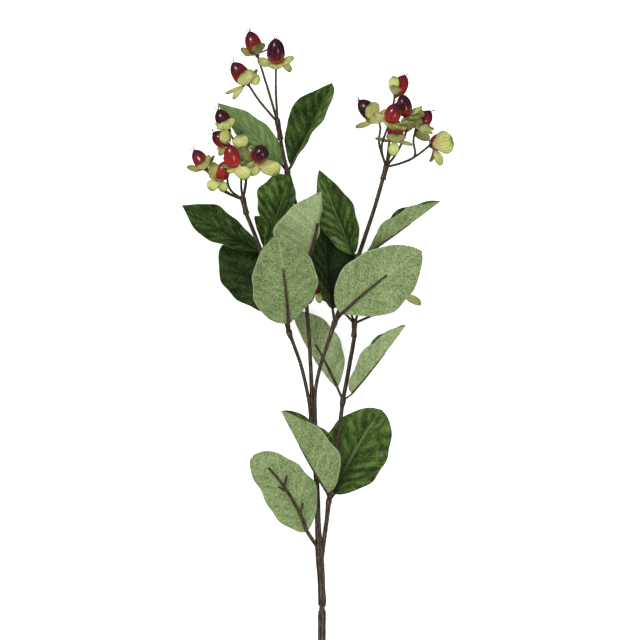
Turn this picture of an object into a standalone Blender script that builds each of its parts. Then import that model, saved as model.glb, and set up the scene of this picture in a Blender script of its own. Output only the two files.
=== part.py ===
"""A hypericum berry stem, cut and laid down on a table.

X runs across the spray, Y along the stem from its cut end to its top, and Z up from the table.
The stem rises a little from its cut end, because the leaves and berry heads hold its upper part up.
"""

import math
from collections import namedtuple

import bmesh
import bpy
from mathutils import Matrix, Vector

MM = 0.001
TOUCH_GAP = 0.3 * MM  # between two pieces that sit on each other

# Blade of a leaf
BLADE_THICKNESS = 0.7 * MM
BLADE_ROWS = 8
BLADE_COLUMNS = 4
BLADE_END_WIDTH = 1.3 * MM
WIDEST_AT = 0.44
HALF_CURL = 0.35  # radians that each half bends back between the rib and its edge
EDGE_WAVE = 1.1 * MM
EDGE_WAVES = 2.6

# Rib that carries a blade, on its underside
STALK_RADIUS = 1.0 * MM
RIB_END_RADIUS = 0.45 * MM

# Berry, its calyx and its stalk
SEPAL_LENGTH = 11.5 * MM
SEPAL_WIDTH = 9.2 * MM
SEPAL_THICKNESS = 0.65 * MM
SEPAL_FOOT = 1.7 * MM  # from the axis of its berry
SEPAL_SIZES = (1.25, 0.85, 1.05, 0.8, 1.0)
SEPAL_TIP_ANGLES = (8, 112, 62, 142, 38)  # degrees from the berry's axis
SEPAL_ROOT_ANGLE = 84
CALYX_RADIUS = 2.2 * MM
STYLE_LENGTH = 4.2 * MM
STYLE_RADIUS = 0.38 * MM
STYLE_SPREAD = 24
STYLES = 2
BERRY_STALK_RADIUS = 0.95 * MM

# Sleeve that plugs a berry head on its branch
SLEEVE_RADIUS = 2.35 * MM

# Where the leaf pairs leave the wood, and where the branches end: x, y and height in mm
FORK = (-2, -115, 11)
SIDE_LOW = (6.5, -81, 15)
SIDE_HIGH = (17, -5, 15.5)
LEFT_LOW = (-22, 46, 26)
LEFT_HIGH = (-43, 102.5, 29)
MIDDLE_LOW = (-11, 84, 21.5)
MIDDLE_HIGH = (-24.5, 166, 25)
RIGHT_LOW = (11, 53, 27)
RIGHT_HIGH = (28, 103, 29)

# Wood routes: x, y, height and radius in mm, from the root up
LOWER_STEM = ((1, -275, 2.75, 2.75), (1.2, -220, 5.2, 2.8), (1.5, -166, 7.2, 2.8), (1.5, -161.2, 7.4, 2.5))
MAIN_STEM = (
    (1.5, -160.6, 7.4, 1.8), (1.5, -158.2, 7.5, 1.8), (1.6, -156.5, 7.6, 3.0), (1.2, -152, 7.9, 2.9),
    (0.3, -138, 8.9, 2.85), (-1, -124, 10.3, 3.1), (*FORK, 3.1), (-2.2, -100, 11.8, 2.4),
    (-2.2, -79, 12.8, 2.2), (-3.8, -41, 14.8, 2.0), (-5.2, -4, 17, 1.7), (-7, 33, 19, 1.5),
    (-9.8, 63, 20.5, 1.5), (*MIDDLE_LOW, 1.5), (-12.8, 108, 22.5, 1.4), (-16.5, 135, 23.5, 1.4),
    (-21.8, 155, 24.5, 1.4), (*MIDDLE_HIGH, 1.4), (-29.4, 189.6, 26, 1.4),
)
LEFT_BRANCH = (
    (-7, -52, 14.4, 0.9), (-8.0, -30, 15.6, 1.4), (-8.6, -8, 17.2, 1.4), (-12.5, 19, 20.5, 1.4),
    (-18, 36, 24, 1.4), (*LEFT_LOW, 1.4), (-27.5, 62, 27, 1.4), (-34.5, 81, 28, 1.4),
    (*LEFT_HIGH, 1.5), (-48.5, 118, 29.5, 1.5), (-54.8, 133.6, 30, 1.5),
)
RIGHT_BRANCH = (
    (-0.6, -46, 15.6, 0.9), (-1.2, -25, 18, 1.4), (-1.6, 0, 19.6, 1.4), (0.8, 22, 22, 1.4),
    (6, 38, 25, 1.4), (*RIGHT_LOW, 1.4), (17.5, 71, 28.2, 1.4), (23, 88, 28.7, 1.4),
    (*RIGHT_HIGH, 1.5), (34, 121, 29.3, 1.5), (40.5, 140, 29.6, 1.5), (46.8, 159.6, 29.9, 1.5),
)
SIDE_BRANCH = (
    (2.9, -123, 11.2, 0.9), (3.1, -108, 12.6, 1.5), (4.8, -95, 14, 1.5), (*SIDE_LOW, 1.6),
    (10, -60, 15.2, 1.5), (14, -30, 15.3, 1.5), (*SIDE_HIGH, 1.6), (20.5, 15, 15.8, 1.6),
    (25.4, 41.6, 16.5, 1.6),
)

# A leaf: the node it leaves the wood at, the base and tip of its blade (x, y and height in mm), the
# widths of its left and right half seen from its face (mm), how it is rolled about its own length
# and how far each half is folded up (degrees; a roll of 0 shows its face upwards and 180 its back),
# the rise of its rib in the middle and the bend of its rib to the left (mm), its twist from base to
# tip (degrees), where it is widest, how pointed its base and tip are, and the rib's reach under it
Leaf = namedtuple(
    "Leaf", "branch node base tip left right roll fold arch sway twist widest base_point tip_point rib",
    defaults=(0, 0, 0, 0.42, 0.7, 0.85, 0.6),
)
LEAVES = {
    "leaf_bottom": Leaf(
        "main_stem", FORK, (-8, -103, 17), (-49, -45, 30), 21, 16, 186, 12, -2, 3, 0, 0.45, 0.55, 0.5, 0.8),
    "leaf_side_low_left": Leaf(
        "side_branch", SIDE_LOW, (6, -75, 23), (-29, -13, 38), 21, 20, 92.5, 77.5, -1, 2, -8, 0.42, 0.55, 0.7),
    "leaf_side_low_right": Leaf(
        "side_branch", SIDE_LOW, (10.5, -76, 12), (44, -12, 10), 27, 22, -6, 4, 1, 2, 0, 0.5, 0.7, 0.6),
    "leaf_side_high_left": Leaf(
        "side_branch", SIDE_HIGH, (13, 4, 12), (-20, 61, 5), 18, 10, 184, 5, -1, 2, 0, 0.5, 0.8, 0.7),
    "leaf_side_high_right": Leaf(
        "side_branch", SIDE_HIGH, (23.5, 0, 20), (64, 51, 32), 15, 15, -100, 62, -1, 0, 0, 0.5, 0.55, 0.75),
    "leaf_left_low_front": Leaf(
        "left_branch", LEFT_LOW, (-22.5, 55, 34), (-28, 119, 58), 26, 24, 180, 12, -4, 1, 0, 0.42, 0.6, 0.75),
    "leaf_left_low_back": Leaf(
        "left_branch", LEFT_LOW, (-27, 52, 22), (-73, 111, 8), 19, 20, -4, 6, 2, 0, 0, 0.4, 0.7, 0.7),
    "leaf_left_high_left": Leaf(
        "left_branch", LEFT_HIGH, (-46, 106.5, 24.5), (-103.5, 141, 22), 14, 15, 4, 16, 2, 1, 0, 0.5, 0.7, 0.85),
    "leaf_left_high_right": Leaf(
        "left_branch", LEFT_HIGH, (-42, 109, 31), (-24, 166.5, 35), 15, 14, 10, 22, 3, 0, 0, 0.6, 0.9, 0.55),
    "leaf_middle_low_front": Leaf(
        "main_stem", MIDDLE_LOW, (-5, 101, 34), (1, 151, 62), 10, 29, 220, 45, -2, 0, 0, 0.4, 0.6, 0.7),
    "leaf_middle_low_back": Leaf(
        "main_stem", MIDDLE_LOW, (-16, 92, 17.5), (-49, 133, 19), 9, 15, 0, 5, 1, 0, 0, 0.45, 0.7, 0.8),
    "leaf_middle_high_left": Leaf(
        "main_stem", MIDDLE_HIGH, (-28, 171, 21.5), (-77, 218, 13), 9, 14, 8, 14, 1, -1, 0, 0.42, 0.8, 0.8),
    "leaf_middle_high_right": Leaf(
        "main_stem", MIDDLE_HIGH, (-22, 171, 27), (9, 232, 40), 22, 18, -34, 46, 2, 0, 8, 0.55, 0.7, 0.65),
    "leaf_right_low_back": Leaf(
        "right_branch", RIGHT_LOW, (9.5, 63, 24), (1, 148, 22.5), 12, 19, 0, 12, 0.5, 0, 0, 0.45, 0.7, 0.8),
    "leaf_right_low_front": Leaf(
        "right_branch", RIGHT_LOW, (17, 57, 33), (77, 106, 46), 22, 27, 182, 9, -4, -1, 0, 0.42, 0.45, 0.7),
    "leaf_right_high_left": Leaf(
        "right_branch", RIGHT_HIGH, (25, 104, 31), (-0.5, 167, 34), 14, 15, -10, 24, 3, 0, 0, 0.42, 0.7, 0.9),
    "leaf_right_high_right": Leaf(
        "right_branch", RIGHT_HIGH, (35, 105, 31), (89.5, 143.5, 44), 18, 18, -97, 56, -1, -2, 0, 0.48, 0.7, 0.8),
}

# A berry: the points its stalk passes, its foot in the calyx and its tip (x, y and height in mm),
# its width (mm) and how far its calyx is turned from having its largest sepal on top (degrees)
Berry = namedtuple("Berry", "via foot tip width spin")
# A head: the foot and top of its sleeve, and its berries
Head = namedtuple("Head", "sleeve_foot sleeve_top berries")
HEADS = {
    "berry_head_top": Head((-29.5, 190, 26.1), (-32, 205, 27), (
        Berry(((-39, 232, 21),), (-47.5, 254, 15.5), (-53, 271, 11), 11.5, 60),
        Berry(((-33, 225, 31),), (-33, 245, 35), (-33, 264, 39), 13.5, 150),
        Berry(((-43.5, 219.5, 27),), (-54.5, 232, 28), (-65.5, 249, 32), 12, -40),
    )),
    "berry_head_left": Head((-55, 134, 30), (-58, 147, 30.5), (
        Berry(((-59, 174, 30), (-63, 187, 31)), (-69, 199, 33), (-76, 213.5, 36), 11.5, 180),
        Berry(((-66, 160, 33), (-66, 174, 33)), (-69, 186, 32), (-79, 195, 34), 11.5, -30),
        Berry(((-69, 150.5, 25), (-80, 161, 17)), (-86, 169, 11.5), (-94.5, 182.5, 8.2), 11, 120),
        Berry(((-59.5, 156, 42),), (-64.5, 169, 50), (-67, 186, 56), 12, 160),
        Berry(((-67.5, 149, 35),), (-76, 156.5, 40), (-73.5, 172, 45), 11.5, 180),
        Berry(((-54, 163, 36),), (-47, 175, 40), (-42.5, 183, 51), 13.5, 130),
        Berry(((-57, 163, 31),), (-58, 182, 34.5), (-59, 197, 34), 11, 10),
    )),
    "berry_head_right": Head((47, 160, 30), (50, 171.5, 30.5), (
        Berry(((52, 189, 25), (54.5, 212, 20)), (57, 224, 18), (64, 238.5, 14), 11.5, 60),
        Berry(((46.5, 187, 30), (46.5, 197, 30)), (42, 206, 29), (29.5, 219, 31), 12.5, -20),
        Berry(((58, 181, 38),), (67, 204, 44), (63, 223, 49), 12, 90),
        Berry(((46, 184, 44),), (53, 203, 55), (59, 219, 59), 12.5, 120),
        Berry(((53, 180, 38),), (56, 188, 42), (57, 204, 46), 12, 0),
        Berry(((61.5, 174.5, 28), (71, 180, 25), (70, 189, 28)), (73, 198.5, 31), (83, 212.5, 34), 11, 0),
        Berry(((61.5, 174.5, 28), (71, 180, 24)), (84, 186.5, 13.4), (97.5, 192, 7.5), 12.5, 10),
    )),
    "berry_head_side": Head((25.5, 42, 16.6), (26, 54.5, 17), (
        Berry(((14, 64, 14),), (0, 75, 12), (-3, 91, 11.5), 11, 90),
        Berry(((46, 62, 16),), (58, 72, 15), (67, 84.5, 13), 11.5, 180),
        Berry(((31, 66, 16),), (40, 79, 14), (44, 94, 13), 12, 90),
        Berry(((22, 64, 14),), (20, 76, 12.3), (18, 92, 11.5), 11.5, 90),
    )),
}

BARK = ("bark", (0.075, 0.05, 0.04), 0.55)
LEAF_FACE = ("leaf_face", (0.05, 0.13, 0.03), 0.45)
LEAF_BACK = ("leaf_back", (0.27, 0.38, 0.17), 0.7)
BERRY_HEAD = ("berry_head", (0.36, 0.02, 0.02), 0.25)


def mm(point):
    return Vector(point[:3]) * MM


def material(finish):
    """The named material of one finish, made the first time that it is asked for."""
    name, colour, roughness = finish
    made = bpy.data.materials.get(name)
    if made is None:
        made = bpy.data.materials.new(name)
        made.use_nodes = True
        shader = made.node_tree.nodes["Principled BSDF"]
        shader.inputs["Base Color"].default_value = (*colour, 1)
        shader.inputs["Roughness"].default_value = roughness
        shader.inputs["Metallic"].default_value = 0
    return made


def placed(name, mesh, collection, finish=None):
    """A new object of this mesh in a collection."""
    made = bpy.data.objects.new(name, mesh)
    collection.objects.link(made)
    if finish:
        mesh.materials.clear()
        mesh.materials.append(material(finish))
    return made


def through(points, steps):
    """Points on one smooth curve through these points, with this many steps between two of them."""
    ends = [2 * points[0] - points[1], *points, 2 * points[-1] - points[-2]]
    made = []
    for a, b, c, d in zip(ends, ends[1:], ends[2:], ends[3:]):
        for step in range(steps):
            t = step / steps
            made.append(
                0.5 * (2 * b + (c - a) * t + (2 * a - 5 * b + 4 * c - d) * t**2 + (3 * b - a - 3 * c + d) * t**3)
            )
    return [*made, points[-1]]


def tube(points, radii, resolution=1):
    """A closed tube as a mesh, from a curve with a round bevel and filled caps."""
    curve = bpy.data.curves.new("tube", "CURVE")
    curve.dimensions = "3D"
    curve.bevel_depth = 1
    curve.bevel_resolution = resolution
    curve.use_fill_caps = True
    spline = curve.splines.new("POLY")
    spline.points.add(len(points) - 1)
    for target, point, radius in zip(spline.points, points, radii):
        target.co = (*point, 1)
        target.radius = radius
    holder = bpy.data.objects.new("tube", curve)
    bpy.context.scene.collection.objects.link(holder)
    graph = bpy.context.evaluated_depsgraph_get()
    mesh = bpy.data.meshes.new_from_object(holder.evaluated_get(graph))
    bpy.data.objects.remove(holder)
    work = bmesh.new()
    work.from_mesh(mesh)
    bmesh.ops.remove_doubles(work, verts=work.verts, dist=0.01 * MM)
    bmesh.ops.recalc_face_normals(work, faces=work.faces)
    work.to_mesh(mesh)
    work.free()
    return mesh


def wood(route, resolution=2, steps=1):
    """A tube along a wood route, whose points are x, y, height and radius in mm."""
    points = through([Vector(point) * MM for point in route], steps)
    return tube([p.to_3d() for p in points], [p[3] for p in points], resolution)


def joined(name, meshes, collection, finish):
    """One object that is the union of these closed meshes."""
    first, *others = meshes
    cutters = bpy.data.collections.new(name + "_repeats")
    bpy.context.scene.collection.children.link(cutters)
    base = placed(name, first, collection)
    for mesh in others:
        placed("repeat", mesh, cutters)
    union = base.modifiers.new("union", "BOOLEAN")
    union.operation = "UNION"
    union.operand_type = "COLLECTION"
    union.collection = cutters
    union.solver = "EXACT"
    graph = bpy.context.evaluated_depsgraph_get()
    whole = bpy.data.meshes.new_from_object(base.evaluated_get(graph))
    for repeat in list(cutters.objects):
        bpy.data.objects.remove(repeat)
    bpy.data.collections.remove(cutters)
    bpy.data.objects.remove(base)
    made = placed(name, whole, collection, finish)
    whole.shade_smooth()
    whole.set_sharp_from_angle(angle=math.radians(40))
    return made


def leaf_frame(leaf):
    """The directions of a leaf: along it, and at each share t of its length its side and its face."""
    along = (mm(leaf.tip) - mm(leaf.base)).normalized()
    level = Vector((0, 0, 1)).cross(along).normalized()
    up = along.cross(level)

    def turned(t):
        roll = math.radians(leaf.roll + leaf.twist * (t - 0.5))
        return level * math.cos(roll) + up * math.sin(roll), up * math.cos(roll) - level * math.sin(roll)

    return along, turned


def rib_point(leaf, t):
    """The point of a leaf's rib at share t of its length."""
    _, turned = leaf_frame(leaf)
    side, face = turned(0.5)
    bow = 4 * t * (1 - t)
    return mm(leaf.base).lerp(mm(leaf.tip), t) + face * leaf.arch * MM * bow + side * leaf.sway * MM * bow


def half_width(leaf, t, across):
    """The width of one half of a leaf at share t of its length, ovate and drawn out to a tip."""
    if t < leaf.widest:
        full = math.sin(math.pi / 2 * max(0, t) / leaf.widest) ** leaf.base_point
    else:
        full = math.sin(math.pi / 2 * max(0, 1 - t) / (1 - leaf.widest)) ** leaf.tip_point
    return BLADE_END_WIDTH / 2 + (leaf.left if across > 0 else leaf.right) * MM * full


def blade_point(leaf, t, across):
    """The point of a blade at share t of its length and across from -1, its right edge, to 1."""
    _, turned = leaf_frame(leaf)
    side, face = turned(t)
    span = abs(across)
    ends = math.sin(math.pi * t) ** 0.5 if 0 < t < 1 else 0
    lift = math.radians(leaf.fold) * (0.6 + 0.4 * ends)
    curl = HALF_CURL * ends + 0.001
    width = half_width(leaf, t, across)
    out = width * (math.sin(lift) - math.sin(lift - curl * span)) / curl
    rise = width * (math.cos(lift - curl * span) - math.cos(lift)) / curl
    phase = 1.3 if across > 0 else 0.2
    wave = EDGE_WAVE * ends * span**2 * math.sin(2 * math.pi * EDGE_WAVES * t + phase * 3 + leaf.left)
    return rib_point(leaf, t) + side * math.copysign(out, across) + face * (rise + wave)


def blade(name, leaf, collection):
    """A leaf's blade: a waved sheet from a grid, folded along its rib and given its thickness."""
    work = bmesh.new()
    bmesh.ops.create_grid(work, x_segments=BLADE_COLUMNS, y_segments=BLADE_ROWS, size=1)
    bmesh.ops.triangulate(work, faces=work.faces)
    for corner in work.verts:
        across, length = corner.co.x, (corner.co.y + 1) / 2
        corner.co = blade_point(leaf, length, across)
    mesh = bpy.data.meshes.new(name)
    work.to_mesh(mesh)
    work.free()
    face_up = math.cos(math.radians(leaf.roll)) > 0
    made = placed(name, mesh, collection, LEAF_FACE if face_up else LEAF_BACK)
    mesh.shade_smooth()
    wall = made.modifiers.new("thickness", "SOLIDIFY")
    wall.thickness = BLADE_THICKNESS
    wall.offset = 0
    return made


def rib(leaf):
    """The stalk of a leaf from its node, running on under the blade as its rib."""
    _, turned = leaf_frame(leaf)
    points = [mm(leaf.node)]
    reach = [leaf.rib * step / 4 for step in range(5)]
    for t in reach:
        _, face = turned(t)
        radius = STALK_RADIUS + (RIB_END_RADIUS - STALK_RADIUS) * t / leaf.rib
        drop = BLADE_THICKNESS / 2 + TOUCH_GAP + radius + 0.1 * MM
        points.append(rib_point(leaf, t) - face * drop)
    smooth = [points[0], points[0].lerp(points[1], 0.5), *points[1:]]
    radii = [STALK_RADIUS + (RIB_END_RADIUS - STALK_RADIUS) * n / (len(smooth) - 1) for n in range(len(smooth))]
    return tube(smooth, radii, 0)


def frame_along(axis):
    """Two directions square to an axis, the first as near to upwards as it can be."""
    up = Vector((0, 0, 1))
    first = (up - axis * up.dot(axis)).normalized()
    return first, axis.cross(first)


def berry_body(berry):
    """An egg-shaped berry, widest near its foot and pointed at its tip."""
    foot, tip = mm(berry.foot), mm(berry.tip)
    axis = (tip - foot).normalized()
    first, second = frame_along(axis)
    length = (tip - foot).length
    work = bmesh.new()
    bmesh.ops.create_uvsphere(work, u_segments=7, v_segments=5, radius=1)
    for corner in work.verts:
        x, y, z = corner.co
        swell = berry.width * MM / 2 * (1 - 0.13 * z)
        corner.co = foot + axis * length * (z + 1) / 2 + (first * x + second * y) * swell
    mesh = bpy.data.meshes.new("berry")
    work.to_mesh(mesh)
    work.free()
    return mesh


def sepal(berry, index):
    """One sepal of a calyx: a short broad blade that leaves the foot outwards and then curves."""
    foot, tip = mm(berry.foot), mm(berry.tip)
    axis = (tip - foot).normalized()
    first, second = frame_along(axis)
    turn = math.radians(berry.spin + 72 * index)
    out = first * math.cos(turn) + second * math.sin(turn)
    side = axis.cross(out)
    length = SEPAL_LENGTH * SEPAL_SIZES[index]
    width = SEPAL_WIDTH * SEPAL_SIZES[index]
    root, end = math.radians(SEPAL_ROOT_ANGLE), math.radians(SEPAL_TIP_ANGLES[index])
    rows = 2
    middle = [foot + axis * 0.1 * MM + out * SEPAL_FOOT]
    for row in range(rows):
        angle = root + (end - root) * (row + 0.5) / rows
        middle.append(middle[-1] + (axis * math.cos(angle) + out * math.sin(angle)) * length / rows)
    work = bmesh.new()
    bmesh.ops.create_grid(work, x_segments=2, y_segments=rows, size=1)
    bmesh.ops.triangulate(work, faces=work.faces)
    shares = (0.25, 1.0, 0.55)
    for corner in work.verts:
        row = round((corner.co.y + 1) / 2 * rows)
        cup = 0.22 * width * shares[row] * corner.co.x**2
        angle = root + (end - root) * row / rows
        inward = axis * math.sin(angle) - out * math.cos(angle)
        corner.co = middle[row] + side * corner.co.x * width / 2 * shares[row] + inward * cup
    bmesh.ops.recalc_face_normals(work, faces=work.faces)
    bmesh.ops.solidify(work, geom=work.faces[:], thickness=SEPAL_THICKNESS)
    bmesh.ops.recalc_face_normals(work, faces=work.faces)
    mesh = bpy.data.meshes.new("sepal")
    work.to_mesh(mesh)
    work.free()
    return mesh


def styles(berry):
    """The dry styles at a berry's tip, as thin spines."""
    tip = mm(berry.tip)
    axis = (tip - mm(berry.foot)).normalized()
    first, second = frame_along(axis)
    made = []
    for index in range(STYLES):
        turn = 2 * math.pi * index / STYLES + 0.5
        lean = math.radians(STYLE_SPREAD)
        out = first * math.cos(turn) + second * math.sin(turn)
        heading = axis * math.cos(lean) + out * math.sin(lean)
        work = bmesh.new()
        bmesh.ops.create_cone(
            work, cap_ends=True, segments=3, radius1=STYLE_RADIUS, radius2=STYLE_RADIUS / 2, depth=STYLE_LENGTH
        )
        place = Matrix.Translation(tip + heading * STYLE_LENGTH * 0.3 + out * STYLE_RADIUS)
        bmesh.ops.transform(work, matrix=place @ heading.to_track_quat("Z", "Y").to_matrix().to_4x4(), verts=work.verts)
        mesh = bpy.data.meshes.new("style")
        work.to_mesh(mesh)
        work.free()
        made.append(mesh)
    return made


def head_meshes(head):
    """The closed meshes of a berry head: its sleeve, stalks, calyces, berries and styles."""
    foot, top = mm(head.sleeve_foot), mm(head.sleeve_top)
    up = (top - foot).normalized()
    sleeve = tube(
        [foot + up * TOUCH_GAP, foot + up * 1.2 * MM, top - up * 1.5 * MM, top + up * 1.5 * MM],
        [SLEEVE_RADIUS, SLEEVE_RADIUS, SLEEVE_RADIUS * 1.1, SLEEVE_RADIUS * 0.8],
        2,
    )
    meshes = [sleeve]
    for berry in head.berries:
        heart = mm(berry.foot)
        into = (mm(berry.tip) - heart).normalized()
        route = [top - up * 1 * MM, *(mm(point) for point in berry.via), heart - into * 2.5 * MM]
        line = through(route, 2 if len(route) < 4 else 1)
        line += [heart - into * 0.9 * MM, heart + into * 1.2 * MM]
        radii = [BERRY_STALK_RADIUS] * (len(line) - 2) + [CALYX_RADIUS] * 2
        meshes.append(tube(line, radii))
        meshes.append(berry_body(berry))
        meshes += [sepal(berry, index) for index in range(len(SEPAL_SIZES))]
        meshes += styles(berry)
    return meshes


def wood_meshes(name, route):
    """The closed meshes of one piece of wood: its tube and the stalks and ribs of its leaves."""
    return [wood(route)] + [rib(leaf) for leaf in LEAVES.values() if leaf.branch == name]


for old in list(bpy.data.objects):
    bpy.data.objects.remove(old)

stem = bpy.data.collections.new("hypericum_berry_stem")
bpy.context.scene.collection.children.link(stem)

lower = placed("lower_stem", wood(LOWER_STEM), stem, BARK)
lower.data.shade_smooth()
joined("main_stem", wood_meshes("main_stem", MAIN_STEM), stem, BARK)
joined("left_branch", wood_meshes("left_branch", LEFT_BRANCH), stem, BARK)
joined("right_branch", wood_meshes("right_branch", RIGHT_BRANCH), stem, BARK)
joined("side_branch", wood_meshes("side_branch", SIDE_BRANCH), stem, BARK)
for leaf_name, leaf_shape in LEAVES.items():
    blade(leaf_name, leaf_shape, stem)
for head_name, head_shape in HEADS.items():
    joined(head_name, head_meshes(head_shape), stem, BERRY_HEAD)
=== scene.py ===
import math
import random
from collections import namedtuple

import bmesh
import bpy
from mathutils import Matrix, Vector, noise


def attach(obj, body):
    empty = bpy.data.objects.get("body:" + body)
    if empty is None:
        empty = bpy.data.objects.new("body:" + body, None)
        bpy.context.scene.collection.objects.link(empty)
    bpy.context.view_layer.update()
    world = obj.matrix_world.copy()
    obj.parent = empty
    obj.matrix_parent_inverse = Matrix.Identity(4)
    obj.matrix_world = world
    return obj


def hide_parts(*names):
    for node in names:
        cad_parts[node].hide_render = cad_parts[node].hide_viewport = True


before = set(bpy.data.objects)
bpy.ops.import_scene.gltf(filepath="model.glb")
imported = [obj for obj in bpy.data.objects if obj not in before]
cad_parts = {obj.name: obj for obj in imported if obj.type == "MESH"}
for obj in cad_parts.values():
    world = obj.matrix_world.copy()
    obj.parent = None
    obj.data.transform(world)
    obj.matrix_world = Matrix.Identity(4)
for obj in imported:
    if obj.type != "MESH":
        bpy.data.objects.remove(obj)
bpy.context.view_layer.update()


# The lower stem: a wire in a brown plastic skin, moulded with bark grooves along it and pale flecks.
# Its top is drawn in to a narrow neck, on which the spray's own stem is pushed.

MM = 0.001


class Link:
    """One output of a node; sums, products and powers of it are Math nodes."""

    def __init__(self, finish, socket):
        self.finish = finish
        self.socket = socket

    def maths(self, operation, first, second=0.0):
        return self.finish.add("ShaderNodeMath", {"operation": operation}, {0: first, 1: second})

    def __add__(self, other):
        return self.maths("ADD", self, other)

    def __radd__(self, other):
        return self.maths("ADD", other, self)

    def __sub__(self, other):
        return self.maths("SUBTRACT", self, other)

    def __rsub__(self, other):
        return self.maths("SUBTRACT", other, self)

    def __mul__(self, other):
        return self.maths("MULTIPLY", self, other)

    def __rmul__(self, other):
        return self.maths("MULTIPLY", other, self)

    def __pow__(self, other):
        return self.maths("POWER", self, other)

    def __abs__(self):
        return self.maths("ABSOLUTE", self)

    def sine(self):
        return self.maths("SINE", self)

    def distance_to_line(self):
        """0 on a line at every whole number and 1 halfway between two of them."""
        return self.maths("PINGPONG", self, 0.5) * 2

    def between(self, low, high):
        """0 up to low and 1 from high, with a smooth rise between them."""
        return self.finish.add(
            "ShaderNodeMapRange",
            {"interpolation_type": "SMOOTHSTEP"},
            {"Value": self, "From Min": low, "From Max": high},
        )


class Finish:
    """A material, its shader and a way to add nodes to it."""

    def __init__(self, name, **sockets):
        self.material = bpy.data.materials.new(name)
        self.material.use_nodes = True
        self.nodes = self.material.node_tree.nodes
        self.shader = self.nodes["Principled BSDF"]
        self.wear(**sockets)

    def wear(self, **sockets):
        """Fills sockets of the shader, with a value or with a link."""
        for socket, value in sockets.items():
            self.fill(self.shader.inputs[socket.replace("_", " ")], value)

    def fill(self, socket, value):
        if isinstance(value, Link):
            self.material.node_tree.links.new(value.socket, socket)
        elif socket.type == "RGBA":
            socket.default_value = (*value, 1)
        else:
            socket.default_value = value

    def add(self, kind, settings, sockets, output=0):
        """A node of this kind, with its settings made first and then its sockets filled."""
        node = self.nodes.new(kind)
        for setting, value in settings.items():
            if setting == "stops":
                ramp = node.color_ramp.elements
                while len(ramp) < len(value):
                    ramp.new(0.5)
                for stop, (place, colour) in zip(ramp, value):
                    stop.position = place
                    stop.color = (*colour, 1)
            else:
                setattr(node, setting, value)
        for socket, value in sockets.items():
            self.fill(node.inputs[socket], value)
        return Link(self, node.outputs[output])

    def places(self):
        """The places on the object, in metres."""
        return self.add("ShaderNodeTexCoord", {}, {}, "Object")

    def own_map(self):
        """The two shares of the piece's own map: across it, or around it, and along it."""
        flat = self.add("ShaderNodeUVMap", {"uv_map": "shares"}, {})
        return [self.add("ShaderNodeSeparateXYZ", {}, {0: flat}, share) for share in ("X", "Y")]

    def stored(self, attribute):
        """The number that the mesh holds under this name."""
        return self.add("ShaderNodeAttribute", {"attribute_name": attribute}, {}, "Fac")

    def speckle(self, vector, scale, detail, rough=0.55):
        """Noise from 0 to 1 with this many grains a metre."""
        return self.add(
            "ShaderNodeTexNoise", {}, {"Vector": vector, "Scale": scale, "Detail": detail, "Roughness": rough}
        )

    def stretched(self, vector, amounts):
        """The vector with each direction times its amount: under 1 draws the grains out."""
        return self.add("ShaderNodeVectorMath", {"operation": "MULTIPLY"}, {0: vector, 1: amounts})

    def ramp(self, value, stops):
        return self.add("ShaderNodeValToRGB", {"stops": stops}, {"Fac": value})

    def mix(self, share, first, second):
        """A colour that goes from the first to the second as the share goes from 0 to 1."""
        return self.add(
            "ShaderNodeMix", {"data_type": "RGBA", "clamp_factor": True}, {0: share, 6: first, 7: second}, 2
        )

    def bump(self, height, depth, strength):
        return self.add(
            "ShaderNodeBump", {}, {"Height": height, "Distance": depth, "Strength": strength}, "Normal"
        )


RIDGES_AROUND = 7
FINE_RIDGES_AROUND = 17
BARK_TONES = ((0.3, (0.013, 0.008, 0.005)), (0.5, (0.038, 0.023, 0.013)), (0.72, (0.145, 0.094, 0.054)))
BARK_FLECK = (0.3, 0.235, 0.175)
# Painted shade: the colour the bark is darkened to at its outline.
BARK_EDGE_SHADE = (0.010, 0.006, 0.004)


def bark_finish():
    """Dark brown moulded plastic with uneven grooves along it, greyish flecks and painted shade at its
    outline.
    """
    bark = Finish("bark", Specular_IOR_Level=0.45)
    around = bark.own_map()[0]
    places = bark.places()
    wander = bark.speckle(places, 160.0, detail=2.0)
    ridges = (around * (math.tau * RIDGES_AROUND) + wander * 5.0).sine() * 0.5 + 0.5
    fine = (around * (math.tau * FINE_RIDGES_AROUND) + wander * 12.0).sine() * 0.5 + 0.5
    streaks = bark.speckle(bark.stretched(places, (1.0, 0.18, 1.0)), 900.0, detail=4.0, rough=0.65)
    flecks = bark.speckle(bark.stretched(places, (1.0, 0.45, 1.0)), 1500.0, detail=2.0, rough=0.6)
    brown = bark.ramp(streaks * 0.82 + ridges * 0.18, BARK_TONES)
    flecked = bark.mix(flecks.between(0.62, 0.72) * 0.7, brown, BARK_FLECK)
    # Painted shade: the bark darkens towards its outline, where its sides turn away from the view.
    rim = bark.add("ShaderNodeLayerWeight", {}, {"Blend": 0.5}, "Facing")
    bark.wear(
        Base_Color=bark.mix(rim.between(0.3, 0.95) * 0.75, flecked, BARK_EDGE_SHADE),
        Roughness=0.28 + streaks * 0.35,
        Normal=bark.bump(ridges * 0.3 + fine * 0.2 + streaks * 0.6, 0.35 * MM, 0.9),
    )
    return bark.material


BARK = bark_finish()


def smooth_line(points, steps):
    """Points on one smooth curve through these points, with this many steps between two of them."""
    ends = [2 * points[0] - points[1], *points, 2 * points[-1] - points[-2]]
    made = []
    for a, b, c, d in zip(ends, ends[1:], ends[2:], ends[3:]):
        for step in range(steps):
            t = step / steps
            bend = 2 * b + (c - a) * t + (2 * a - 5 * b + 4 * c - d) * t**2 + (3 * b - a - 3 * c + d) * t**3
            made.append(bend / 2)
    return [*made, points[-1]]


def start_piece():
    """An empty mesh whose own map holds the shares across and along each part of it."""
    work = bmesh.new()
    work.loops.layers.uv.new("shares")
    return work


def new_object(name, data):
    """An object of the scene with this data, at the origin."""
    made = bpy.data.objects.new(name, data)
    bpy.context.scene.collection.objects.link(made)
    return made


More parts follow.
